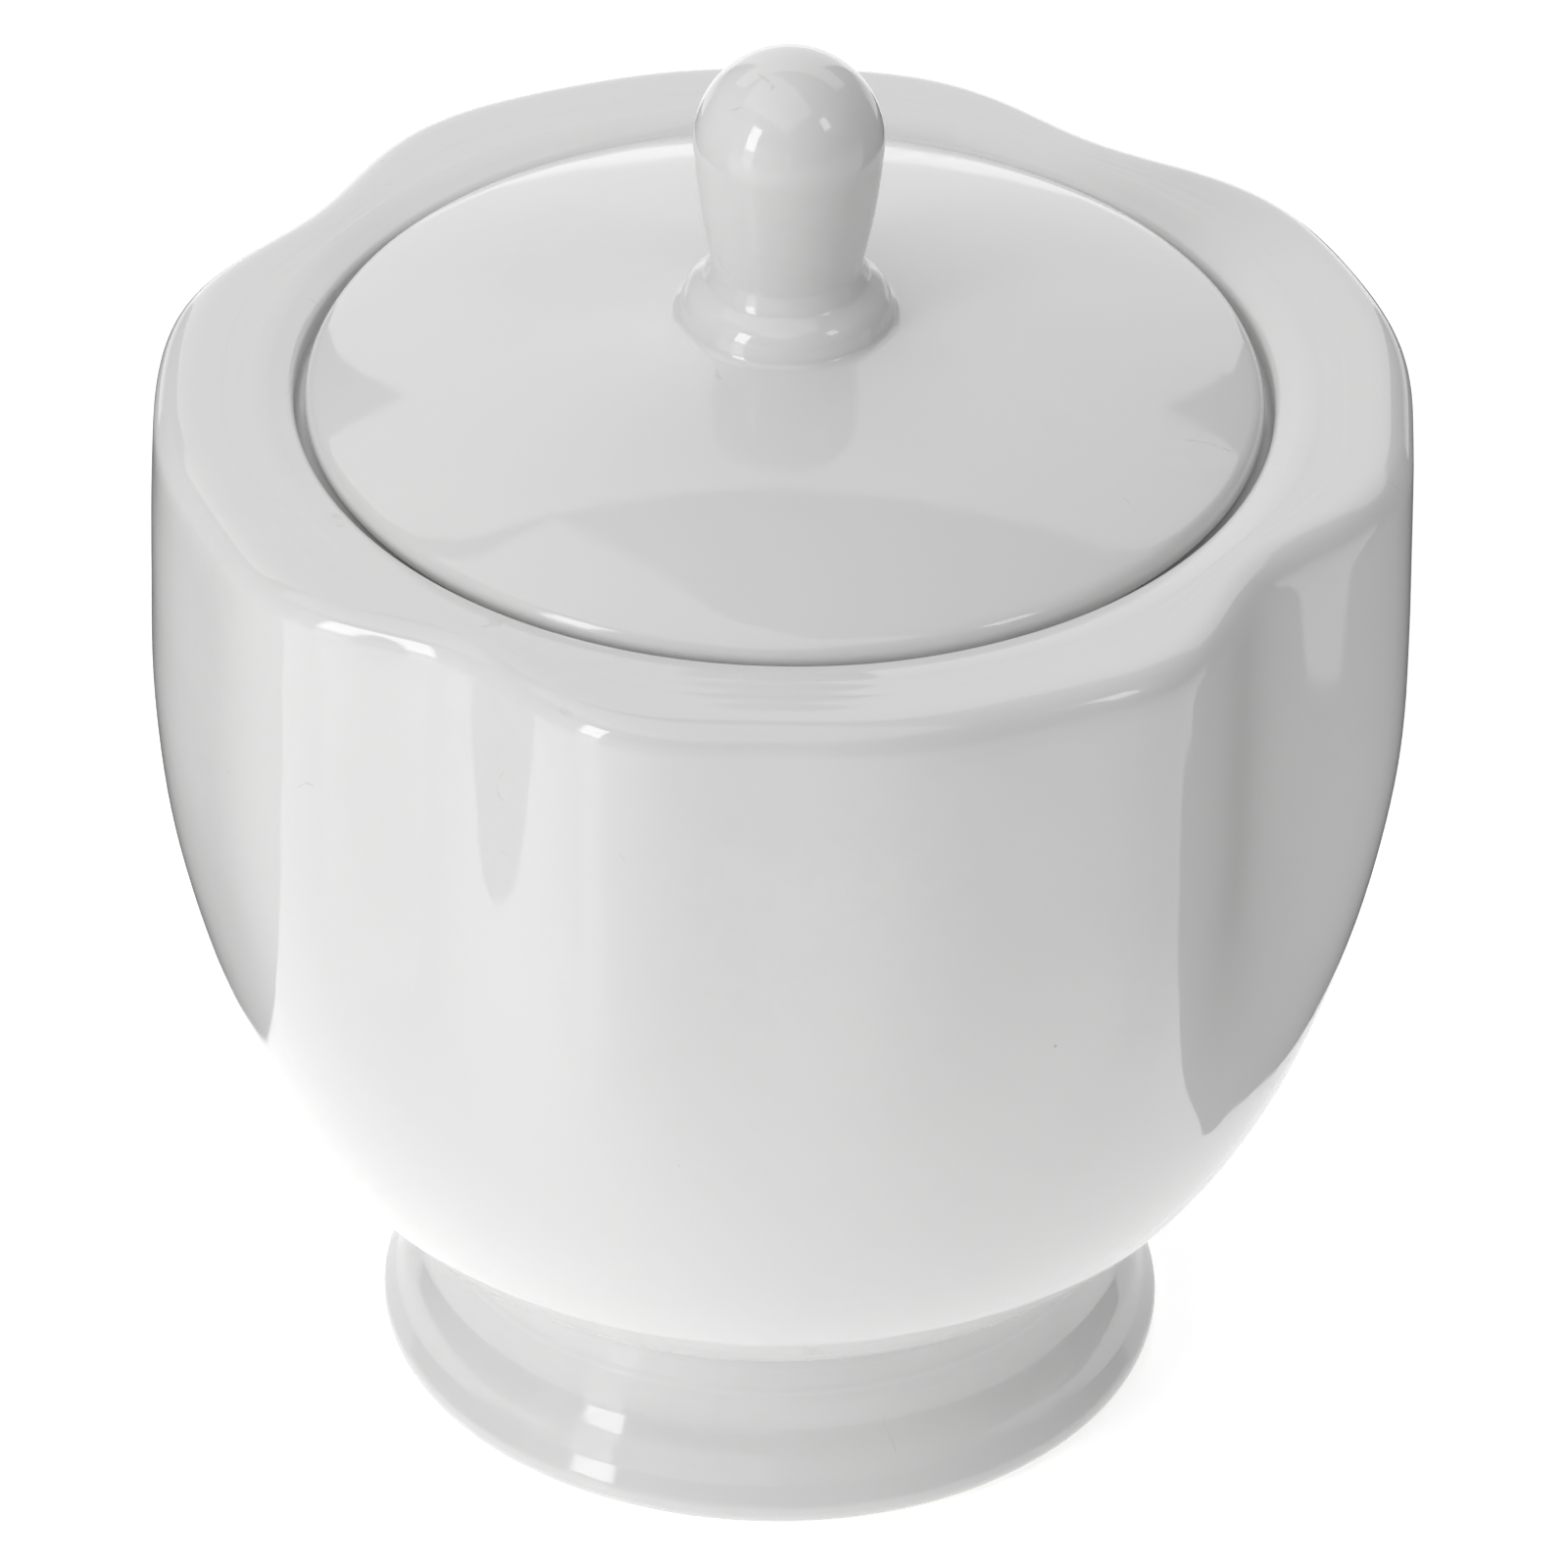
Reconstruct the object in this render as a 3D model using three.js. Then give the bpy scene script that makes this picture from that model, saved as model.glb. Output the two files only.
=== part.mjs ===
// A porcelain sugar bowl: a four-lobed bowl on a round pedestal foot, under a domed lid with a round knob.
// Millimetres, +Z up. The origin is the centre of the foot's standing ring, on the table.
// The lobes' centres lie on the X and Y axes, and the flutes between them on the diagonals.
// Each piece is a lathe profile of [radius, height] points; the bowl's is then swelled into lobes.

import * as THREE from "three";

// ---- Driving dimensions ----

const SEAM_GAP = 0.3; // left between pieces that touch

const WALL = 3.2; // the bowl's and the lid's thickness
const RIM_HEIGHT = 95.2; // top of the bowl's rim, at its outer edge
const RIM_ROUND = 2.9; // rounding of the rim's outer edge
const RIM_FALL = 0.65; // how far the bevel inside the rim slopes down towards the lid
const BEVEL_WIDTH = 2.4;

const BELLY_RADIUS = 52.6; // mean radius of the bowl at its widest
const BELLY_WIDEST = 74; // height of the widest section
const BELLY_DROP = 65.2; // from there down to where the belly's curve would close
const BELLY_CURVE = 2.25; // how late the belly starts to draw in
const BELLY_BASE = 3; // how bluntly it turns under
const BELLY_TUCK = 2.6; // how far its very bottom is drawn in further, where it meets the foot
const TUCK_TOP = 22; // height at which that starts
const BELLY_LEAN = 0.45; // how far the wall leans in again from the widest section to the rim

const LOBE_SWELL = 1.5; // fourfold wave of the wall
const LOBE_FLATTEN = 0.85; // eightfold wave, which flattens each lobe's face
const LOBE_SHOULDER = 0.35; // twelvefold wave, which tightens the flutes
const LOBES_START = 37; // below this height the bowl is round
const LOBES_FULL = 71; // above this height the lobes are at their full depth

const UNDERSIDE_HEIGHT = 14; // the bowl's flat underside, which the foot is joined to
const FLOOR_HEIGHT = 17.6; // the floor inside the bowl

const SEAT_RADIUS = 41.2; // the round recess that the lid drops into
const SEAT_HEIGHT = 92.4; // the ledge that the lid rests on
const SEAT_ROUND = 0.6; // rounding of the recess's upper edge
const THROAT_RADIUS = 37.2; // the opening inside the ledge

const FOOT_RADIUS = 34;
const FOOT_BASE_ROUND = 1.3; // rounding of the skirt's lower edge
const FOOT_SHOULDER_RADIUS = 31.9; // the skirt's outside where its shoulder starts
const FOOT_SHOULDER_ROUND = 1.2;
const FOOT_STEP_HEIGHT = 8; // top of the shoulder, where the neck rises from it
const SKIRT_WAIST = 0.25; // how far the skirt is hollowed between its base and its shoulder
const CREASE_RADIUS = 30.8; // where the shoulder ends and the neck starts
const FOOT_NECK_RADIUS = 29.5;
const FOOT_WALL = 4.1;
const STANDING_WIDTH = 2.2; // the flat ring that meets the table
const STANDING_CHAMFER = 0.6; // on the ring's inner edge

const LID_RADIUS = 40.5;
const LID_EDGE_ROUND = 1.6; // the lid's rolled edge, a half round
const LID_CROWN = 102.8; // height of the dome's top under the knob
const FLANGE_RADIUS = 36.2; // the ring under the lid that centres it in the throat
const FLANGE_THICK = 2.6;
const FLANGE_DEPTH = 5.8; // below the lid's edge

const KNOB_RADIUS = 8;
const KNOB_CENTRE = 119.1; // height of the knob's round head
const NECK_RADIUS = 6.35;
const NECK_HEIGHT = 107.7; // height of the knob's narrowest section
const FLARE_ROUND = 1.2; // hollow rounding under the neck
const FLARE_ANGLE = 40; // how far that rounding turns, in degrees
const FLARE_RADIUS = 9.1; // where the knob's base meets the lid
const FLARE_EDGE = 0.4; // thickness left at that edge
const FLARE_BULGE_RADIUS = 8.4; // the swollen middle of the flare
const FLARE_BULGE_HEIGHT = 104.2;

// ---- Profile helpers ----

const TURN = Math.PI * 2;
const radians = THREE.MathUtils.degToRad;

// Points on an ellipse's arc, with angles in degrees: 0 points outwards and 90 up.
function arc(radius, height, reachOut, reachUp, from, to, steps) {
  return Array.from({ length: steps + 1 }, (_, i) => {
    const angle = radians(from + ((to - from) * i) / steps);
    return [radius + reachOut * Math.cos(angle), height + reachUp * Math.sin(angle)];
  });
}

// Points on a curve at evenly spread heights, lowest first.
function curve(radiusAt, from, to, steps) {
  return Array.from({ length: steps + 1 }, (_, i) => {
    const height = from + ((to - from) * i) / steps;
    return [radiusAt(height), height];
  });
}

// A lathe turns a profile about +Y, so it is stood up to turn about +Z.
function turned(profile, segments) {
  const points = profile.map(([radius, height]) => new THREE.Vector2(radius, height));
  return new THREE.LatheGeometry(points, segments, 0, TURN).rotateX(Math.PI / 2);
}

// ---- Bowl ----

// The mean radius of the bowl's outside, or of its inside with the wall taken off.
function bellyRadius(height, wall = 0, closes = BELLY_DROP) {
  const below = BELLY_WIDEST - height;
  if (below < 0) {
    const above = -below / (RIM_HEIGHT - BELLY_WIDEST);
    return BELLY_RADIUS - wall - BELLY_LEAN * above * above;
  }
  const drawn = 1 - (below / closes) ** BELLY_CURVE;
  const tuck = BELLY_TUCK * (1 - THREE.MathUtils.smoothstep(height, UNDERSIDE_HEIGHT - 1.5, TUCK_TOP));
  return (BELLY_RADIUS - wall) * Math.max(drawn, 0) ** (1 / BELLY_BASE) - tuck;
}

// How strongly the lobes show at a height, from 0 to 1.
const lobing = (height) => THREE.MathUtils.smoothstep(height, LOBES_START, LOBES_FULL);

// How far a fully lobed wall stands off its mean radius, at an angle from a lobe's centre.
function lobeWave(angle) {
  return (
    LOBE_SWELL * Math.cos(4 * angle) -
    LOBE_FLATTEN * Math.cos(8 * angle) +
    LOBE_SHOULDER * Math.cos(12 * angle)
  );
}

// The bowl's profile from the middle of its underside, up the outside, over the rim and down the inside.
// Each stretch says how strongly the lobes show on it.
function bowlProfile() {
  const outerTop = RIM_HEIGHT - RIM_ROUND;
  const rimEdge = bellyRadius(outerTop) - RIM_ROUND;
  const innerDrop = BELLY_WIDEST - FLOOR_HEIGHT;
  const seatTop = RIM_HEIGHT - RIM_FALL;
  const bevelEnd = SEAT_RADIUS + SEAT_ROUND + BEVEL_WIDTH;
  const shelf = SEAT_HEIGHT - WALL; // the underside of the ledge
  const shoulder = 6; // rounding inside, where the wall turns in under the ledge
  const innerTop = shelf - shoulder;
  const inside = (height) => bellyRadius(height, WALL, innerDrop);
  const lipRound = WALL / 2;
  const seatEdge = arc(SEAT_RADIUS + SEAT_ROUND, seatTop - SEAT_ROUND, SEAT_ROUND, SEAT_ROUND, 90, 180, 2);
  const lip = arc(THROAT_RADIUS + lipRound, SEAT_HEIGHT - lipRound, lipRound, lipRound, 90, 270, 3);

  const stretches = [
    { lobes: () => 0, points: [[0, UNDERSIDE_HEIGHT]] },
    { lobes: lobing, points: curve(bellyRadius, UNDERSIDE_HEIGHT, outerTop, 13) },
    { lobes: () => 1, points: arc(rimEdge, outerTop, RIM_ROUND, RIM_ROUND, 18, 90, 4) },
    { lobes: () => 0, points: [[bevelEnd, RIM_HEIGHT]] },
    { lobes: () => 0, points: seatEdge },
    { lobes: () => 0, points: [[SEAT_RADIUS, SEAT_HEIGHT]] },
    { lobes: () => 0, points: lip },
    { lobes: () => 1, points: arc(inside(innerTop) - shoulder, innerTop, shoulder, shoulder, 80, 20, 2) },
    { lobes: lobing, points: curve(inside, FLOOR_HEIGHT + 0.6, innerTop, 10).reverse() },
    { lobes: () => 0, points: [[0, FLOOR_HEIGHT]] },
  ];
  return stretches.flatMap(({ lobes, points }) =>
    points.map(([radius, height]) => ({ radius, height, lobes: lobes(height) })),
  );
}

function bowlGeometry(segments) {
  const profile = bowlProfile();
  const geometry = turned(profile.map(({ radius, height }) => [radius, height]), segments);
  const position = geometry.getAttribute("position");
  for (let i = 0; i < position.count; i++) {
    const { radius, lobes } = profile[i % profile.length];
    const angle = (TURN * Math.floor(i / profile.length)) / segments;
    const swelled = radius + lobes * lobeWave(angle);
    position.setXY(i, swelled * Math.sin(angle), -swelled * Math.cos(angle));
  }
  return geometry;
}

// ---- Foot ----

// From the standing ring up over the skirt, its shoulder and the neck, and back down inside.
function footProfile() {
  const top = UNDERSIDE_HEIGHT - SEAM_GAP;
  const standOuter = FOOT_RADIUS - FOOT_BASE_ROUND;
  const standInner = standOuter - STANDING_WIDTH;
  const shoulderRadius = FOOT_SHOULDER_RADIUS - FOOT_SHOULDER_ROUND;
  const shoulderStart = FOOT_STEP_HEIGHT - FOOT_SHOULDER_ROUND;
  const skirtStart = FOOT_BASE_ROUND + 1.2;
  const waistRadius = (FOOT_RADIUS + FOOT_SHOULDER_RADIUS) / 2 - SKIRT_WAIST;
  const innerTop = FOOT_NECK_RADIUS - FOOT_WALL;
  return [
    [standOuter, 0],
    ...arc(standOuter, FOOT_BASE_ROUND, FOOT_BASE_ROUND, FOOT_BASE_ROUND, -55, 0, 2),
    [FOOT_RADIUS - 0.1, skirtStart],
    [waistRadius, (skirtStart + shoulderStart) / 2],
    ...arc(shoulderRadius, shoulderStart, FOOT_SHOULDER_ROUND, FOOT_SHOULDER_ROUND, 10, 60, 2),
    [CREASE_RADIUS, FOOT_STEP_HEIGHT],
    [CREASE_RADIUS - 0.6, FOOT_STEP_HEIGHT + 1.5],
    [CREASE_RADIUS - 0.95, FOOT_STEP_HEIGHT + 3],
    [FOOT_NECK_RADIUS, top],
    [innerTop, top],
    [innerTop, FOOT_STEP_HEIGHT + 1],
    [standInner - STANDING_CHAMFER, STANDING_CHAMFER],
    [standInner, 0],
    [standOuter, 0],
  ];
}

// ---- Lid ----

// The dome is the circle through the crown that meets the rolled edge without a step.
const edgeRadius = LID_RADIUS - LID_EDGE_ROUND;
const edgeHeight = SEAT_HEIGHT + SEAM_GAP + LID_EDGE_ROUND;
const crownRise = LID_CROWN - edgeHeight;
const domeRadius =
  (edgeRadius ** 2 + crownRise ** 2 - LID_EDGE_ROUND ** 2) / (2 * (crownRise - LID_EDGE_ROUND));
const domeEnd = THREE.MathUtils.radToDeg(Math.acos(edgeRadius / (domeRadius - LID_EDGE_ROUND)));

const domeHeight = (radius) => LID_CROWN - domeRadius + Math.sqrt(domeRadius ** 2 - radius ** 2);

// From under the dome, down round the centring flange, out to the rolled edge and up over the dome.
function lidProfile() {
  const underside = edgeHeight - LID_EDGE_ROUND;
  const flangeEnd = underside - FLANGE_DEPTH;
  const flangeInside = FLANGE_RADIUS - FLANGE_THICK;
  const half = FLANGE_THICK / 2;
  const domeCentre = LID_CROWN - domeRadius;
  const innerDome = domeRadius - WALL;
  const innerStart = THREE.MathUtils.radToDeg(Math.acos(flangeInside / innerDome));
  return [
    [0, domeCentre + innerDome],
    ...arc(0, domeCentre, innerDome, innerDome, 90, innerStart, 5).slice(1),
    ...arc(FLANGE_RADIUS - half, flangeEnd + half, half, half, -180, 0, 3),
    [FLANGE_RADIUS, underside],
    ...arc(edgeRadius, edgeHeight, LID_EDGE_ROUND, LID_EDGE_ROUND, -90, domeEnd, 6),
    ...arc(0, domeCentre, domeRadius, domeRadius, domeEnd, 90, 7).slice(1, -1),
    [0, LID_CROWN],
  ];
}

// ---- Knob ----

// A round head that tapers to a neck, over a flared base that sits on the dome.
function knobProfile() {
  const taper = (height) => {
    const down = (KNOB_CENTRE - height) / (KNOB_CENTRE - NECK_HEIGHT);
    return KNOB_RADIUS - (KNOB_RADIUS - NECK_RADIUS) * down * down;
  };
  const seat = (radius) => domeHeight(radius) + SEAM_GAP;
  const flareEnd = seat(FLARE_RADIUS) + FLARE_EDGE;
  return [
    [0, seat(0)],
    [FLARE_RADIUS / 2, seat(FLARE_RADIUS / 2)],
    [FLARE_RADIUS, seat(FLARE_RADIUS)],
    [FLARE_RADIUS, flareEnd],
    [FLARE_BULGE_RADIUS, FLARE_BULGE_HEIGHT],
    ...arc(NECK_RADIUS + FLARE_ROUND, NECK_HEIGHT, FLARE_ROUND, FLARE_ROUND, 180 + FLARE_ANGLE, 180, 3),
    ...curve(taper, NECK_HEIGHT, KNOB_CENTRE, 6).slice(1),
    ...arc(0, KNOB_CENTRE, KNOB_RADIUS, KNOB_RADIUS, 0, 90, 7).slice(1, -1),
    [0, KNOB_CENTRE + KNOB_RADIUS],
  ];
}

// ---- Materials and assembly ----

function porcelain() {
  return new THREE.MeshStandardMaterial({ color: 0xf0efec, roughness: 0.08, metalness: 0 });
}

function piece(name, geometry) {
  const mesh = new THREE.Mesh(geometry, porcelain());
  mesh.name = name;
  return mesh;
}

const bowl = new THREE.Group();
bowl.add(piece("bowl", bowlGeometry(72)), piece("pedestal_foot", turned(footProfile(), 60)));

const lid = new THREE.Group();
lid.add(piece("lid", turned(lidProfile(), 60)), piece("lid_knob", turned(knobProfile(), 40)));

const sugarBowl = new THREE.Group();
sugarBowl.add(bowl, lid);

export default sugarBowl;
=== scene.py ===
"""A white porcelain sugar bowl with a lift-off lid, on a pale floor under soft studio light.

Every piece is a fine lathe form round the bowl's upright axis, in millimetres, and takes its outer size
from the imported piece's box.
A profile is an array of [radius, height, lobing] rows; lobing says how strongly the four lobes show there.
"""

import math

import bpy
import numpy as np
from mathutils import Matrix, Vector


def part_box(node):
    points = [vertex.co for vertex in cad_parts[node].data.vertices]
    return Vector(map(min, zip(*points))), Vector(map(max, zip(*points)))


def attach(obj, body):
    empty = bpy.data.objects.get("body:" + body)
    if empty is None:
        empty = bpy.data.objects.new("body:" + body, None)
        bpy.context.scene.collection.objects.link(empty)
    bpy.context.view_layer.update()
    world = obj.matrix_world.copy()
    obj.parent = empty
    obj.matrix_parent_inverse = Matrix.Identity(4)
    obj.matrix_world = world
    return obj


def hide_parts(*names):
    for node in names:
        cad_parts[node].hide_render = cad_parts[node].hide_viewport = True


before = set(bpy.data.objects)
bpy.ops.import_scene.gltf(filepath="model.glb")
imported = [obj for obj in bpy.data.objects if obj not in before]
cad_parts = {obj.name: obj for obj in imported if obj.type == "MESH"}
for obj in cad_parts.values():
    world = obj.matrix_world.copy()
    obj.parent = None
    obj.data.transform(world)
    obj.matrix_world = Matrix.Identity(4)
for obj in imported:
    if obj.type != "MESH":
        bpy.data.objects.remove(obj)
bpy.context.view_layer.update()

MM = 0.001
SEED = 11


def box_mm(node):
    low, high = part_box(node)
    return low / MM, high / MM


bowl_low, bowl_high = box_mm("bowl")
_, foot_high = box_mm("pedestal_foot")
lid_low, lid_high = box_mm("lid")
_, knob_high = box_mm("lid_knob")


# ---- Camera ----

CAMERA_AZIMUTH = math.radians(-11.44)
CAMERA_ELEVATION = math.radians(34.44)
CAMERA_DISTANCE = 1.1
CAMERA_ROLL = math.radians(1.0)
CAMERA_LENS = 294.3
AIM_HEIGHT = 0.0543
AIM_RIGHT = 0.0005


def make_camera():
    cos_e, sin_e = math.cos(CAMERA_ELEVATION), math.sin(CAMERA_ELEVATION)
    cos_a, sin_a = math.cos(CAMERA_AZIMUTH), math.sin(CAMERA_AZIMUTH)
    back = Vector((sin_a * cos_e, -cos_a * cos_e, sin_e))
    right = Vector((cos_a, sin_a, 0))
    up = back.cross(right)
    rolled_right = right * math.cos(CAMERA_ROLL) + up * math.sin(CAMERA_ROLL)
    rolled_up = back.cross(rolled_right)
    data = bpy.data.cameras.new("camera")
    data.lens = CAMERA_LENS
    data.clip_start, data.clip_end = 0.05, 20
    camera = bpy.data.objects.new("camera", data)
    bpy.context.scene.collection.objects.link(camera)
    place = Matrix((rolled_right, rolled_up, back)).transposed().to_4x4()
    place.translation = right * AIM_RIGHT + Vector((0, 0, AIM_HEIGHT)) + back * CAMERA_DISTANCE
    camera.matrix_world = place
    bpy.context.scene.camera = camera


make_camera()


# ---- Profiles ----

FINE = 0.15  # spacing that a profile is softened at
LONGEST = 1.6  # longest step between two rings
SHARPEST = math.radians(5)  # most that a profile turns between two rings


def smoothstep(value, low, high):
    t = np.clip((value - low) / (high - low), 0, 1)
    return t * t * (3 - 2 * t)


def arc(radius, height, reach_out, reach_up, start, end, lobing=0.0, steps=16):
    """Points on an ellipse's arc, with angles in degrees: 0 points outwards and 90 up."""
    angle = np.radians(np.linspace(start, end, steps + 1))
    outwards = radius + reach_out * np.cos(angle)
    upwards = height + reach_up * np.sin(angle)
    return np.stack([outwards, upwards, np.full(steps + 1, lobing)], 1)


def row(radius, height, lobing=0.0):
    return np.array([[radius, height, lobing]])


def spread(points, spacing):
    """The same path with evenly spaced points."""
    along = np.concatenate([[0], np.cumsum(np.hypot(*np.diff(points[:, :2], axis=0).T))])
    steps = np.linspace(0, along[-1], max(int(along[-1] / spacing), 8) + 1)
    return np.stack([np.interp(steps, along, column) for column in points.T], 1)


def softened(points, soft, closed=False):
    """The path with its corners melted over about soft millimetres, as glaze fills them."""
    points = spread(points, FINE)
    reach = int(4 * soft / FINE) + 1
    weights = np.exp(-0.5 * (np.arange(-reach, reach + 1) * FINE / soft) ** 2)
    weights /= weights.sum()
    if closed:
        padded = np.concatenate([points[-reach - 1 : -1], points, points[1 : reach + 1]])
    else:
        across = np.array([-1, 1, 1])
        before = points[reach:0:-1] * across
        after = points[-2 : -reach - 2 : -1] * across
        padded = np.concatenate([before, points, after])
    smooth = np.stack([np.convolve(column, weights, "valid") for column in padded.T], 1)
    if closed:
        smooth[-1] = smooth[0]
    else:
        smooth[0, 0] = smooth[-1, 0] = 0
    return smooth


def thinned(points):
    """Only the points that the shape needs."""
    kept, turned, run = [points[0]], 0.0, 0.0
    for before, here, after in zip(points[:-2], points[1:-1], points[2:]):
        a, b = here[:2] - before[:2], after[:2] - here[:2]
        turned += abs(math.atan2(a[0] * b[1] - a[1] * b[0], a @ b))
        run += math.hypot(*a)
        if turned > SHARPEST or run > LONGEST:
            kept.append(here)
            turned, run = 0.0, 0.0
    return np.array([*kept, points[-1]])


def turning_lines(along, size):
    """The faint uneven ridges that a sponge leaves on a turning pot."""
    return size * (np.sin(along * 5.1) + 0.6 * np.sin(along * 8.3 + 1) + 0.4 * np.sin(along * 2.3 + 2))


# ---- Bowl ----

WALL = 3.2
RIM_ROUND = 2.9
RIM_FALL = 0.65
BELLY_WIDEST = 74.0
BELLY_DROP = 65.2
BELLY_CURVE = 2.25
BELLY_BASE = 3.0
BELLY_TUCK = 2.6  # how far its very bottom is drawn in further, where it meets the foot
TUCK_TOP = 22.0
BELLY_LEAN = 0.45
LOBE_WAVES = {4: 1.5, 8: -0.85, 12: 0.35}
FRONT_WAVES = {4: 1.5, 8: -1.22, 12: 0.65}  # the front flutes are a little deeper
LOBES_START, LOBES_FULL = 37.0, 71.0
FLOOR_THICKNESS = 3.6
SEAT_CLEARANCE = 0.7
SEAT_DEPTH = 2.8
SEAT_ROUND = 0.4
BEVEL_WIDTH = 2.4  # the soft slope from the rim down to the recess
BEVEL_DROP = 0.08  # how far below the rim's top that slope starts
THROAT_RADIUS = 37.2
INNER_SHOULDER = 6.0  # rounding inside, where the wall turns in under the ledge
BOWL_SOFTNESS = 0.45
RIM_LINES = 0.012  # size of the turning lines on the rim

BELLY_RADIUS = bowl_high.x - sum(LOBE_WAVES.values())


def belly_radius(height, wall=0.0, closes=BELLY_DROP):
    below = np.maximum(BELLY_WIDEST - height, 0)
    above = np.maximum(height - BELLY_WIDEST, 0) / (bowl_high.z - BELLY_WIDEST)
    drawn = np.maximum(1 - (below / closes) ** BELLY_CURVE, 0) ** (1 / BELLY_BASE)
    tuck = BELLY_TUCK * (1 - smoothstep(height, bowl_low.z - 1.5, TUCK_TOP))
    return (BELLY_RADIUS - wall) * drawn - BELLY_LEAN * above**2 - tuck


def lobing(height):
    return smoothstep(height, LOBES_START, LOBES_FULL)


def lobe_wave(angle):
    """How far a fully lobed wall stands off its mean radius."""
    front = smoothstep(-np.sin(angle), -0.3, 0.5)
    wave = np.zeros_like(angle)
    for count, swell in LOBE_WAVES.items():
        wave += (swell + (FRONT_WAVES[count] - swell) * front) * np.cos(count * angle)
    return wave


def wall_curve(low, high, wall=0.0, closes=BELLY_DROP):
    height = np.linspace(low, high, 120)
    return np.stack([belly_radius(height, wall, closes), height, lobing(height)], 1)


def bowl_profile():
    outer_top = bowl_high.z - RIM_ROUND
    rim_edge = belly_radius(outer_top) - RIM_ROUND
    floor = bowl_low.z + FLOOR_THICKNESS
    seat = lid_high.x + SEAT_CLEARANCE
    seat_top = bowl_high.z - RIM_FALL
    ledge = bowl_high.z - SEAT_DEPTH
    lip = WALL / 2
    inner_top = ledge - WALL - INNER_SHOULDER
    inner_drop = BELLY_WIDEST - floor
    inner_edge = belly_radius(inner_top, WALL, inner_drop) - INNER_SHOULDER
    points = [
        row(0, bowl_low.z),
        row(FOOT_NECK_RADIUS - FOOT_WALL, bowl_low.z),
        wall_curve(bowl_low.z - 0.5, outer_top),
        arc(rim_edge, outer_top, RIM_ROUND, RIM_ROUND, 8, 90, 1.0),
        row(seat + SEAT_ROUND + BEVEL_WIDTH, bowl_high.z - BEVEL_DROP),
        arc(seat + SEAT_ROUND, seat_top - SEAT_ROUND, SEAT_ROUND, SEAT_ROUND, 90, 180),
        row(seat, ledge),
        arc(THROAT_RADIUS + lip, ledge - lip, lip, lip, 90, 270),
        arc(inner_edge, inner_top, INNER_SHOULDER, INNER_SHOULDER, 85, 10, 1.0),
        wall_curve(floor + 0.4, inner_top, WALL, inner_drop)[::-1],
        row(0, floor),
    ]
    points = softened(np.concatenate(points), BOWL_SOFTNESS)
    rim = (points[:, 1] > seat_top) * smoothstep(points[:, 0], seat + 1, seat + 2.5)
    rim *= 1 - smoothstep(points[:, 0], rim_edge - 2, rim_edge)
    points[:, 1] += rim * turning_lines(points[:, 0], RIM_LINES)
    return points


# ---- Foot ----

FOOT_STEP = 8.0
FOOT_NECK_RADIUS = 29.5
CREASE_RADIUS = 30.8  # where the skirt's shoulder ends and the neck starts
FOOT_WALL = 4.1
FOOT_BASE_ROUND = 1.3
STANDING_WIDTH = 2.2
STANDING_CHAMFER = 0.6
FOOT_SOFTNESS = 0.28
NECK_OVERLAP = 1.6  # how far the neck's top reaches up round the bowl's underside
NECK_LINES = 0.014  # size of the turning lines on the neck

# The skirt's outline from its base up to its shoulder: in from the foot's radius, and up from the table.
SKIRT_CURVE = [(0.05, 2.0), (0.6, 2.8), (1.15, 3.6), (1.45, 4.4)]
SKIRT_CURVE += [(1.72, 5.2), (2.1, 6.0), (2.55, 6.75), (3.0, 7.4)]

# The neck's outline from the crease up: in from the crease's radius, and up from the step.
NECK_CURVE = [(0.1, -0.1), (0.35, 0.8), (0.62, 1.8), (0.95, 3.0)]


def foot_profile():
    radius = foot_high.x
    inner = FOOT_NECK_RADIUS - FOOT_WALL
    stand_outer = radius - FOOT_BASE_ROUND
    stand_inner = stand_outer - STANDING_WIDTH
    top = bowl_low.z + NECK_OVERLAP
    points = [
        row(stand_outer, 0),
        arc(stand_outer, FOOT_BASE_ROUND, FOOT_BASE_ROUND, FOOT_BASE_ROUND, -85, 0),
        *[row(radius - inwards, height) for inwards, height in SKIRT_CURVE],
        *[row(CREASE_RADIUS - inwards, FOOT_STEP + up) for inwards, up in NECK_CURVE],
        row(FOOT_NECK_RADIUS + 0.1, bowl_low.z - 1.5),
        row(FOOT_NECK_RADIUS, top),
        row(inner - 0.6, top),
        row(inner, bowl_low.z - NECK_OVERLAP),
        row(inner, FOOT_STEP + 1),
        row(stand_inner - STANDING_CHAMFER, STANDING_CHAMFER),
        row(stand_inner, 0),
        row(stand_outer, 0),
    ]
    points = softened(np.concatenate(points), FOOT_SOFTNESS, closed=True)
    neck = (points[:, 0] > FOOT_NECK_RADIUS - 1) * smoothstep(points[:, 1], FOOT_STEP + 0.6, FOOT_STEP + 2)
    points[:, 0] += neck * turning_lines(points[:, 1], NECK_LINES)
    return points


# ---- Lid ----

LID_EDGE_ROUND = 1.6
LID_WALL = 3.2
FLANGE_RADIUS = 36.2
FLANGE_THICKNESS = 2.6
LID_LIFT = 0.15  # the hairline that the lid stands off its ledge
LID_SOFTNESS = 0.3


class Dome:
    """The circle through the lid's crown that meets its rolled edge without a step."""

    edge_radius = lid_high.x - LID_EDGE_ROUND
    underside = bowl_high.z - SEAT_DEPTH + LID_LIFT
    edge_height = underside + LID_EDGE_ROUND
    crown = lid_high.z
    rise = crown - edge_height
    radius = (edge_radius**2 + rise**2 - LID_EDGE_ROUND**2) / (2 * (rise - LID_EDGE_ROUND))
    centre = crown - radius
    end = math.degrees(math.acos(edge_radius / (radius - LID_EDGE_ROUND)))

    @classmethod
    def height(cls, radius):
        return cls.centre + math.sqrt(cls.radius**2 - radius**2)


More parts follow.
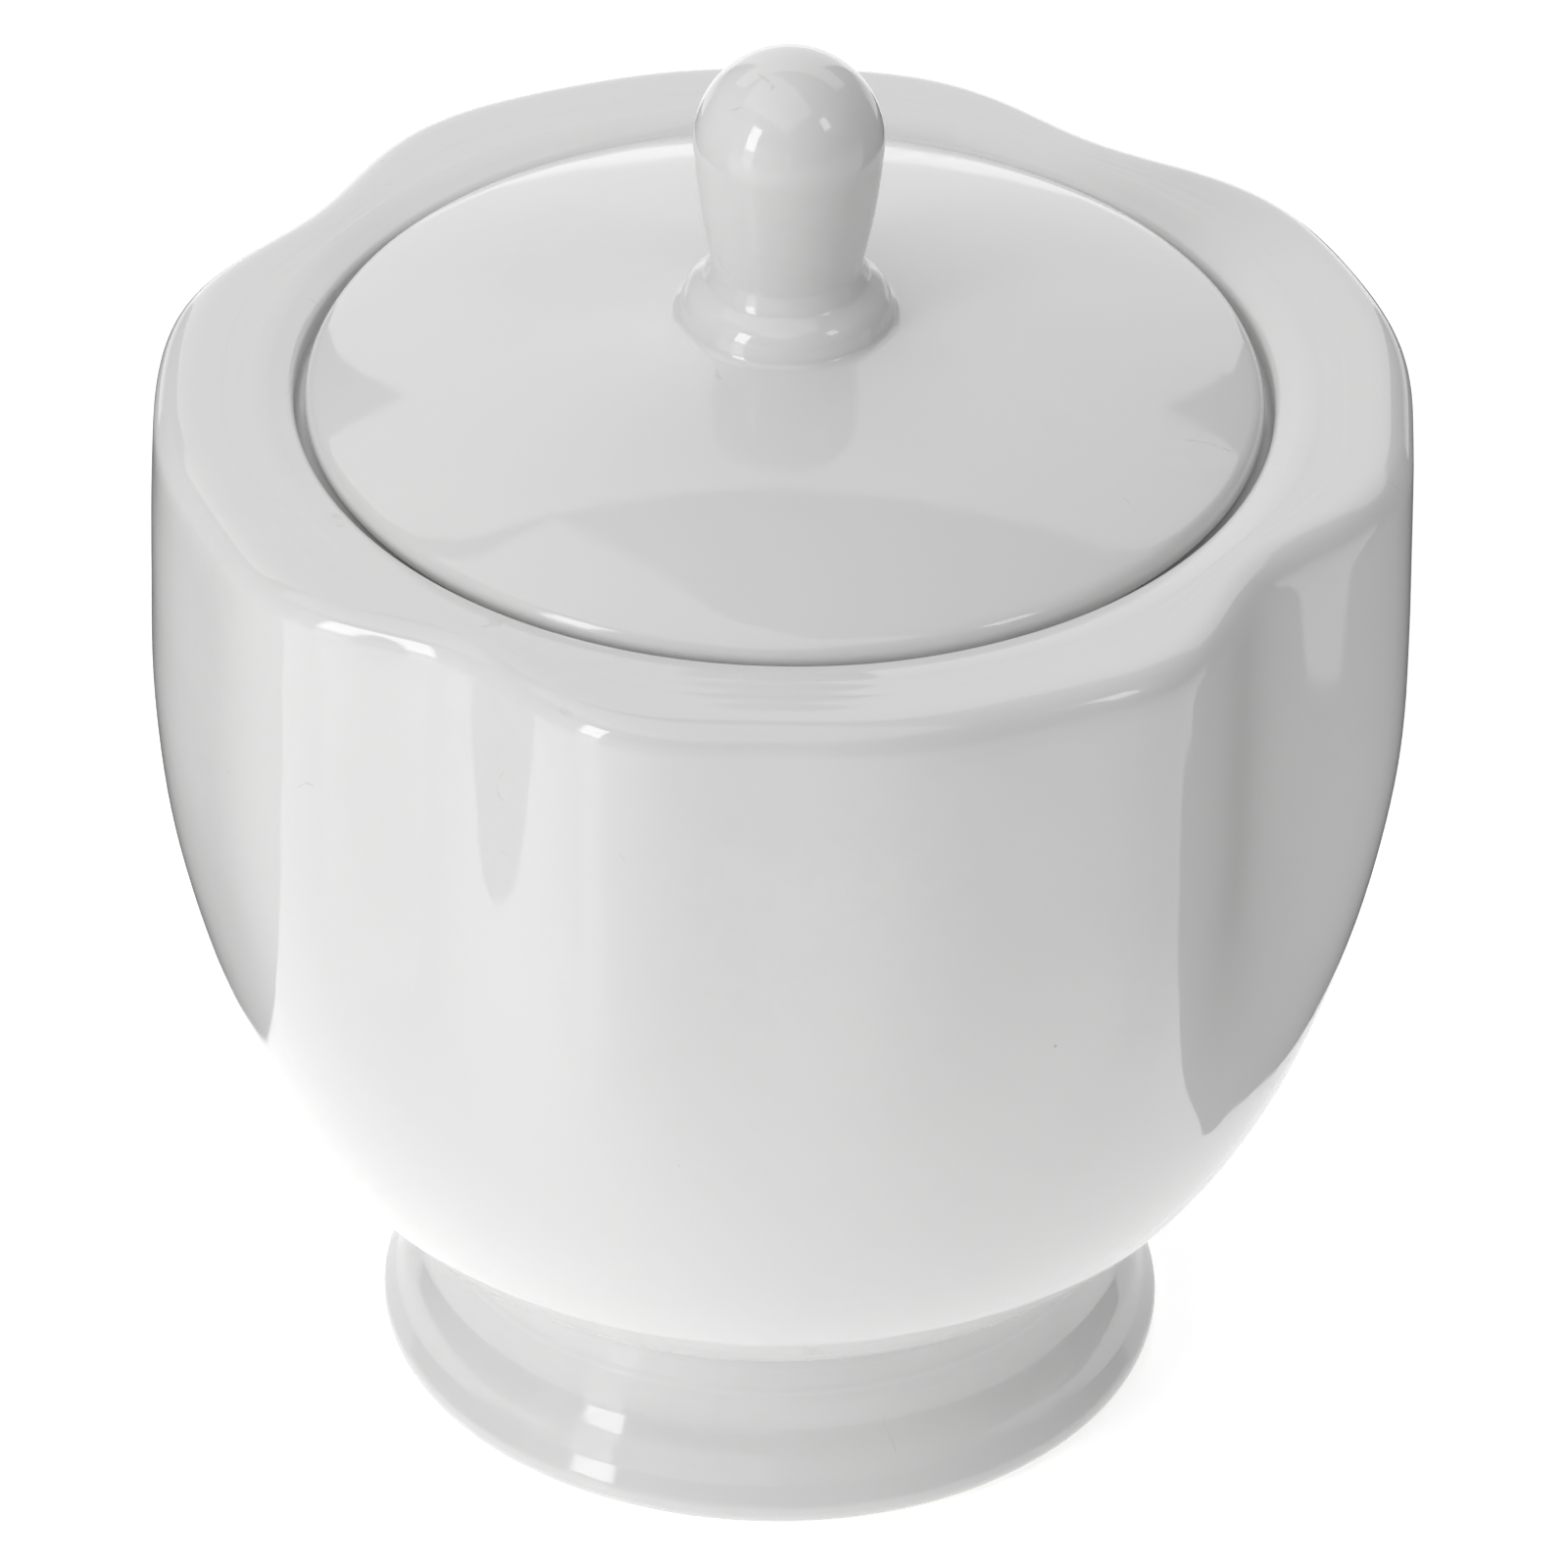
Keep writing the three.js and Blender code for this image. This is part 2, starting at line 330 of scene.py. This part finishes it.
def lid_profile():
    flange_inside = FLANGE_RADIUS - FLANGE_THICKNESS
    half = FLANGE_THICKNESS / 2
    inner = Dome.radius - LID_WALL
    start = math.degrees(math.acos(flange_inside / inner))
    points = [
        arc(0, Dome.centre, inner, inner, 90, start),
        arc(FLANGE_RADIUS - half, lid_low.z + half, half, half, -180, 0),
        row(FLANGE_RADIUS, Dome.underside),
        arc(Dome.edge_radius, Dome.edge_height, LID_EDGE_ROUND, LID_EDGE_ROUND, -90, Dome.end),
        arc(0, Dome.centre, Dome.radius, Dome.radius, Dome.end, 90, steps=60),
    ]
    return softened(np.concatenate(points), LID_SOFTNESS)


# ---- Knob ----

KNOB_RADIUS = 8.0
NECK_RADIUS = 6.35
NECK_DROP = 19.4  # from the knob's top down to its narrowest
FLARE_ROUND = 1.6
FLARE_RADIUS = 9.0
KNOB_SUNK = 1.0  # how far its hidden underside reaches into the dome
KNOB_SOFTNESS = 0.3

# The flare's outline from the dome up to the neck: out from its radius, and up from the dome there.
FLARE_CURVE = [(0.6, -0.05), (0.2, 0.1), (0.0, 0.4), (-0.06, 1.0)]
FLARE_CURVE += [(-0.3, 1.75), (-0.8, 2.5), (-1.5, 3.1), (-2.15, 3.6)]


def knob_profile():
    centre = knob_high.z - KNOB_RADIUS
    neck = knob_high.z - NECK_DROP
    height = np.linspace(neck + 0.3, centre, 60)
    down = (centre - height) / (centre - neck)
    taper = KNOB_RADIUS - (KNOB_RADIUS - NECK_RADIUS) * (0.35 * down + 0.65 * down**2)
    points = [
        row(0, Dome.height(0) - KNOB_SUNK),
        row(FLARE_RADIUS + 1.1, Dome.height(FLARE_RADIUS + 1.1) - 0.35),
        row(FLARE_RADIUS + 1.5, Dome.height(FLARE_RADIUS + 1.5) - 0.1),
    ]
    points += [row(FLARE_RADIUS + out, Dome.height(FLARE_RADIUS) + up) for out, up in FLARE_CURVE]
    points += [
        arc(NECK_RADIUS + FLARE_ROUND, neck, FLARE_ROUND, FLARE_ROUND, 222, 182),
        np.stack([taper, height, np.zeros_like(height)], 1),
        arc(0, centre, KNOB_RADIUS, KNOB_RADIUS, 0, 90, steps=60)[1:],
    ]
    return softened(np.concatenate(points), KNOB_SOFTNESS)


# ---- Meshes ----

WANDER_SIZE, WANDER_LENGTH = 0.05, 45  # how far the surface drifts from true, and over what distance
RIPPLE_SIZE, RIPPLE_LENGTH = 0.012, 14
UNEVEN_RADIUS = 40  # the radius where those sizes hold


def waviness(points, seed, size, wavelength):
    """A gentle unevenness over space, the same on every run."""
    random = np.random.default_rng(SEED + seed)
    total = np.zeros(len(points))
    for _ in range(12):
        direction = random.normal(size=3)
        direction /= np.linalg.norm(direction)
        pace = 2 * math.pi / (wavelength * random.uniform(0.7, 1.5))
        total += np.sin(points @ direction * pace + random.uniform(0, 2 * math.pi))
    return total * size / math.sqrt(6)


def hollowness(profile):
    """How hollow a profile is at each point: 0 where it's flat or swells, and 1 in a tight crease."""
    step = np.diff(profile[:, :2], axis=0)
    turn = np.zeros(len(profile))
    turn[1:-1] = step[:-1, 1] * step[1:, 0] - step[:-1, 0] * step[1:, 1]
    turn[1:-1] /= (np.hypot(*step[:-1].T) * np.hypot(*step[1:].T) * FINE).clip(1e-9)
    window = np.hanning(9)
    return np.convolve(turn.clip(0, 1.5), window / window.sum(), "same").clip(0, 1)


def lathe(name, profile, segments, seed):
    """A closed lathe form. Profiles that touch the axis get a single point there."""
    profile = thinned(np.column_stack([profile, hollowness(profile)]))
    on_axis = abs(profile[0, 0]) < 1e-6
    rings = profile[1:-1] if on_axis else profile[:-1]
    angle = np.arange(segments) * 2 * math.pi / segments
    radius = rings[:, :1] + rings[:, 2:3] * lobe_wave(angle)[None, :]
    height = np.repeat(rings[:, 1:2], segments, 1)
    points = np.stack([radius * np.cos(angle), radius * np.sin(angle), height], 2).reshape(-1, 3)
    drift = waviness(points, seed, WANDER_SIZE, WANDER_LENGTH)
    ripple = waviness(points, seed + 1, RIPPLE_SIZE, RIPPLE_LENGTH)
    uneven = 1 + (drift + ripple) / UNEVEN_RADIUS
    points[:, :2] *= uneven[:, None]
    count = len(rings)
    following = np.roll(np.arange(segments), -1)
    starts = np.arange(count if not on_axis else count - 1)
    lower = (starts * segments)[:, None]
    upper = (((starts + 1) % count) * segments)[:, None]
    here, there = np.arange(segments)[None, :], following[None, :]
    quads = np.stack([lower + here, lower + there, upper + there, upper + here], 2).reshape(-1, 4)
    faces = quads.tolist()
    if on_axis:
        bottom, top = len(points), len(points) + 1
        points = np.concatenate([points, [[0, 0, profile[0, 1]], [0, 0, profile[-1, 1]]]])
        last = (count - 1) * segments
        faces += [[bottom, int(b), int(a)] for a, b in zip(range(segments), following)]
        faces += [[top, last + int(a), last + int(b)] for a, b in zip(range(segments), following)]
    mesh = bpy.data.meshes.new(name)
    mesh.from_pydata((points * MM).tolist(), [], faces)
    mesh.polygons.foreach_set("use_smooth", np.ones(len(mesh.polygons), bool))
    mesh.update()
    hollow = np.concatenate([np.repeat(rings[:, 3], segments), np.zeros(2 if on_axis else 0)])
    mesh.attributes.new("hollow", "FLOAT", "POINT").data.foreach_set("value", hollow)
    piece = bpy.data.objects.new(name, mesh)
    bpy.context.scene.collection.objects.link(piece)
    return piece


# ---- Materials ----


class Nodes:
    """Short ways to add shader nodes to one material."""

    def __init__(self, material):
        self.tree = material.node_tree
        self.shader = self.tree.nodes["Principled BSDF"]
        self.place = self.add("ShaderNodeTexCoord").outputs["Object"]

    def add(self, kind, inputs=None, **settings):
        node = self.tree.nodes.new(kind)
        for name, value in settings.items():
            setattr(node, name, value)
        for name, value in (inputs or {}).items():
            if isinstance(value, bpy.types.NodeSocket):
                self.tree.links.new(value, node.inputs[name])
            else:
                node.inputs[name].default_value = value
        return node

    def noise(self, size, detail=2.0, shift=0.0):
        """Noise with features of about size millimetres, from 0 to 1."""
        by = (shift, shift, shift)
        moved = self.add("ShaderNodeVectorMath", {0: self.place, 1: by}, operation="ADD")
        inputs = {"Vector": moved.outputs[0], "Scale": 1 / (size * MM), "Detail": detail}
        return self.add("ShaderNodeTexNoise", inputs).outputs[0]

    def math(self, operation, a, b=0.0):
        return self.add("ShaderNodeMath", {0: a, 1: b}, operation=operation).outputs[0]

    def ramp(self, value, low, high, start=0.0, end=1.0):
        inputs = {"Value": value, "From Min": low, "From Max": high, "To Min": start, "To Max": end}
        return self.add("ShaderNodeMapRange", inputs, interpolation_type="SMOOTHSTEP").outputs[0]

    def mix(self, share, a, b):
        node = self.add("ShaderNodeMix", data_type="RGBA")
        for socket, value in ((node.inputs[0], share), (node.inputs[6], a), (node.inputs[7], b)):
            if isinstance(value, bpy.types.NodeSocket):
                self.tree.links.new(value, socket)
            else:
                socket.default_value = value
        return node.outputs[2]

    def connect(self, value, socket):
        self.tree.links.new(value, self.shader.inputs[socket])


GLAZE_COOL = (0.775, 0.778, 0.776, 1)
GLAZE_WARM = (0.825, 0.823, 0.818, 1)
GLAZE_WORN = (0.77, 0.772, 0.77, 1)
GLAZE_POOLED = (0.73, 0.745, 0.74, 1)
HAIR_COLOUR = (0.5, 0.49, 0.47, 1)
SPECK_COLOUR = (0.34, 0.31, 0.28, 1)
BISQUE_DARK = (0.6, 0.585, 0.55, 1)
BISQUE_PALE = (0.74, 0.73, 0.7, 1)

SPECK_SPACING = 3.4  # between the places where a speck may fall, most of which stay empty
BUMP_DEPTH = 0.02  # depth of the glaze's unevenness
BARE_HEIGHT = 0.62  # height of the ragged line where the glaze stops above the table


def specks(nodes):
    cells = nodes.add("ShaderNodeTexVoronoi", {"Vector": nodes.place, "Scale": 1 / (SPECK_SPACING * MM)})
    chosen = nodes.ramp(cells.outputs["Color"], 0.86, 0.88)
    return nodes.math("MULTIPLY", nodes.ramp(cells.outputs["Distance"], 0.035, 0.075, 1, 0), chosen)


def hair_marks(nodes):
    """Short broken lines along the contours of a noise, in only a few places."""
    contour = nodes.math("ABSOLUTE", nodes.math("SUBTRACT", nodes.noise(9, 1, 0.31), 0.5))
    few = nodes.ramp(nodes.noise(7, 1, 0.77), 0.715, 0.74)
    whole = nodes.math("MULTIPLY", nodes.ramp(contour, 0.002, 0.006, 1, 0), few)
    return nodes.math("MULTIPLY", whole, nodes.ramp(nodes.noise(1.1, 1, 0.5), 0.4, 0.6, 0.3, 1))


def worn_patches(nodes):
    patches = nodes.ramp(nodes.noise(24, 2, 0.12), 0.52, 0.66)
    return nodes.math("MULTIPLY", patches, nodes.ramp(nodes.noise(2.2, 4, 0.9), 0.42, 0.6))


def bare_ring(nodes):
    """Where the standing ring has no glaze: below a ragged line just above the table."""
    height = nodes.add("ShaderNodeSeparateXYZ", {0: nodes.place}).outputs["Z"]
    ragged = nodes.math("MULTIPLY", nodes.noise(1.5, 3, 0.2), 0.4 * MM)
    line = BARE_HEIGHT * MM
    return nodes.ramp(nodes.math("ADD", height, ragged), line, line + 0.08 * MM, 1, 0)


def glazed_porcelain():
    """White porcelain under clear glaze: specks, hair marks, worn patches and a bare standing ring."""
    material = bpy.data.materials.new("glazed_porcelain")
    material.use_nodes = True
    nodes = Nodes(material)
    speck, hair, worn, bare = specks(nodes), hair_marks(nodes), worn_patches(nodes), bare_ring(nodes)
    hollow = nodes.add("ShaderNodeAttribute", attribute_name="hollow").outputs["Fac"]
    pooled = nodes.ramp(hollow, 0.0, 1.0)

    clear = nodes.mix(nodes.noise(34, 3), GLAZE_COOL, GLAZE_WARM)
    mottled = nodes.mix(nodes.math("MULTIPLY", worn, 0.3), clear, GLAZE_WORN)
    filled = nodes.mix(nodes.math("MULTIPLY", pooled, 0.3), mottled, GLAZE_POOLED)
    marked = nodes.mix(nodes.math("MULTIPLY", hair, 0.3), filled, HAIR_COLOUR)
    specked = nodes.mix(nodes.math("MULTIPLY", speck, 0.55), marked, SPECK_COLOUR)
    bisque = nodes.mix(nodes.noise(0.5, 3), BISQUE_DARK, BISQUE_PALE)
    nodes.connect(nodes.mix(bare, specked, bisque), "Base Color")

    glossy = nodes.ramp(nodes.noise(12, 4, 0.4), 0.3, 0.7, 0.045, 0.085)
    rubbed = nodes.math("ADD", glossy, nodes.math("MULTIPLY", worn, 0.07))
    marks = nodes.math("MAXIMUM", hair, speck)
    dulled = nodes.math("ADD", rubbed, nodes.math("MULTIPLY", marks, 0.2))
    nodes.connect(nodes.math("MAXIMUM", dulled, nodes.math("MULTIPLY", bare, 0.75)), "Roughness")

    orange_peel = nodes.math("MULTIPLY", nodes.noise(0.9, 2, 0.8), 0.05)
    peel = nodes.math("ADD", nodes.noise(5.5, 1, 0.6), orange_peel)
    pitted = nodes.math("SUBTRACT", peel, nodes.math("MULTIPLY", nodes.math("ADD", speck, hair), 0.3))
    grit = nodes.math("MULTIPLY", nodes.math("MULTIPLY", nodes.noise(0.3, 3), bare), 1.5)
    relief = nodes.math("ADD", pitted, grit)
    bump = nodes.add("ShaderNodeBump", {"Height": relief, "Distance": BUMP_DEPTH * MM, "Strength": 1.0})
    nodes.connect(bump.outputs[0], "Normal")
    return material


# ---- Pieces ----

porcelain = glazed_porcelain()

PIECES = [
    ("bowl_form", "bowl", "bowl_body", bowl_profile(), 360),
    ("foot_form", "pedestal_foot", "bowl_body", foot_profile(), 240),
    ("lid_form", "lid", "lid_body", lid_profile(), 240),
    ("knob_form", "lid_knob", "lid_body", knob_profile(), 160),
]

# A piece uses two seeds, so they are spaced ten apart.
for index, (name, node, body, profile, segments) in enumerate(PIECES):
    form = lathe(name, profile, segments, index * 10)
    form.data.materials.append(porcelain)
    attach(form, body)
    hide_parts(node)


# ---- Floor and light ----

LIGHT_HEIGHT = 0.06  # the height on the axis that the lights face
CARD_HEIGHT = 0.0004  # just over the floor


def plain_material(name, colour, roughness, glow=0.0):
    material = bpy.data.materials.new(name)
    material.use_nodes = True
    shader = material.node_tree.nodes["Principled BSDF"]
    shader.inputs["Base Color"].default_value = (*colour, 1)
    shader.inputs["Roughness"].default_value = roughness
    shader.inputs["Emission Color"].default_value = (1, 1, 1, 1)
    shader.inputs["Emission Strength"].default_value = glow
    return material


def stage_mesh(name, points, faces, material):
    mesh = bpy.data.meshes.new(name)
    mesh.from_pydata(points, [], faces)
    mesh.materials.append(material)
    thing = bpy.data.objects.new(name, mesh)
    bpy.context.scene.collection.objects.link(thing)
    return thing


def make_floor():
    side = 6.0
    corners = [(-side, -side, 0), (side, -side, 0), (side, side, 0), (-side, side, 0)]
    pale = plain_material("pale_floor", (0.92, 0.92, 0.92), 0.13, glow=0.47)
    stage_mesh("floor", corners, [(0, 1, 2, 3)], pale)


def towards(azimuth, elevation):
    """A direction out from the bowl, at an azimuth to the right of the camera's, in degrees."""
    a, e = CAMERA_AZIMUTH + math.radians(azimuth), math.radians(elevation)
    return Vector((math.sin(a) * math.cos(e), -math.cos(a) * math.cos(e), math.sin(e)))


def softbox(name, azimuth, elevation, distance, width, height, brightness):
    """A rectangular light that faces the bowl. Its width and height are angles in degrees."""
    back = towards(azimuth, elevation)
    data = bpy.data.lights.new(name, "AREA")
    data.shape = "RECTANGLE"
    data.size = 2 * distance * math.tan(math.radians(width / 2))
    data.size_y = 2 * distance * math.tan(math.radians(height / 2))
    data.energy = brightness * math.pi * data.size * data.size_y
    light = bpy.data.objects.new(name, data)
    light.matrix_world = back.to_track_quat("Z", "Y").to_matrix().to_4x4()
    light.location = Vector((0, 0, LIGHT_HEIGHT)) + back * distance
    light.visible_camera = False
    bpy.context.scene.collection.objects.link(light)


def floor_points(corners):
    """Points just over the floor, from millimetres right of the bowl's axis and towards the camera."""
    side, near = towards(90, 0), towards(0, 0)
    return [side * x * MM + near * y * MM + Vector((0, 0, CARD_HEIGHT)) for x, y in corners]


def black_card(name, points, faces):
    card = stage_mesh(name, points, faces, plain_material(name, (0.02, 0.02, 0.02), 1.0))
    card.visible_camera = card.visible_shadow = card.visible_transmission = False
    return card


def flag(name, corners, top):
    """A black card that only reflections see, putting painted shade into the glaze's reflections: flat on
    the floor, and upright along its second edge.
    """
    flat = floor_points(corners)
    raised = [point + Vector((0, 0, top)) for point in flat[1:3]]
    count = len(flat)
    faces = [tuple(range(count)), (1, 2, count + 1, count)]
    black_card(name, flat + raised, faces).visible_diffuse = False


def negative_fill(name, corners):
    """A card that takes away some of the floor's light and isn't seen in reflections.

    It also shades the floor that it lies on, as a grey patch that shows only from behind.
    """
    points = floor_points(corners)
    black_card(name, points, [tuple(range(len(points)))]).visible_glossy = False


# The cards' outlines, in millimetres to the right of the bowl's axis and towards the camera.
# The two flags stand in for the floor's shade beside and behind the bowl as the glaze reflects it: painted
# shade in reflections.
RIGHT_FLAG = [(200, 14), (330, -30), (300, -330), (110, -330), (58, -200), (56, -75), (66, -22), (70, -4)]
RIGHT_FLAG += [(68, 4), (64, 8), (64, 11), (73, 15), (97, 23), (120, 33), (145, 37), (168, 37), (171, 20)]
LEFT_FLAG = [(-235, 76), (-300, 95), (-300, -330), (-150, -330), (-58, -200), (-54, -75), (-64, -17)]
LEFT_FLAG += [(-86, 0), (-107, 21), (-128, 40), (-160, 55)]
FRONT_CARD = [(-60, 190), (150, 170), (330, 110), (460, 330), (-60, 430)]

# Each light's name, azimuth, elevation, distance, width, height and brightness.
LIGHTS = [
    ("lamp", -48, 26, 0.8, 12, 26, 4.8),
    ("lamp_tall", -48.5, 17, 0.81, 13, 44, 1.5),
    ("lamp_glow", -56, 18, 0.82, 28, 46, 0.42),
    ("second_lamp", 59, 40, 1.2, 9, 13, 3.6),
    ("second_glow", 65, 38, 1.21, 21, 24, 0.3),
    ("front", -30, 50, 1.3, 60, 26, 0.22),
    ("low_front", -22, 11, 1.31, 50, 15, 0.5),
    ("overhead", -50, 74, 1.2, 70, 46, 1.02),
    ("backdrop", 180, 15.5, 1.1, 46, 43, 1.04),
    ("backdrop_top", 180, 48.5, 1.1, 84, 23, 1.04),
]
WORLD_BRIGHTNESS = 0.165

make_floor()
# Black cards that only reflections see: painted shade in the glaze's reflections.
flag("flag_right", RIGHT_FLAG, top=0.3)
flag("flag_left", LEFT_FLAG, top=0.16)
negative_fill("front_card", FRONT_CARD)
for light in LIGHTS:
    softbox(*light)

world = bpy.data.worlds.new("studio")
world.use_nodes = True
background = world.node_tree.nodes["Background"]
background.inputs["Color"].default_value = (1, 1, 1, 1)
background.inputs["Strength"].default_value = WORLD_BRIGHTNESS
bpy.context.scene.world = world
bpy.context.scene.view_settings.view_transform = "Standard"
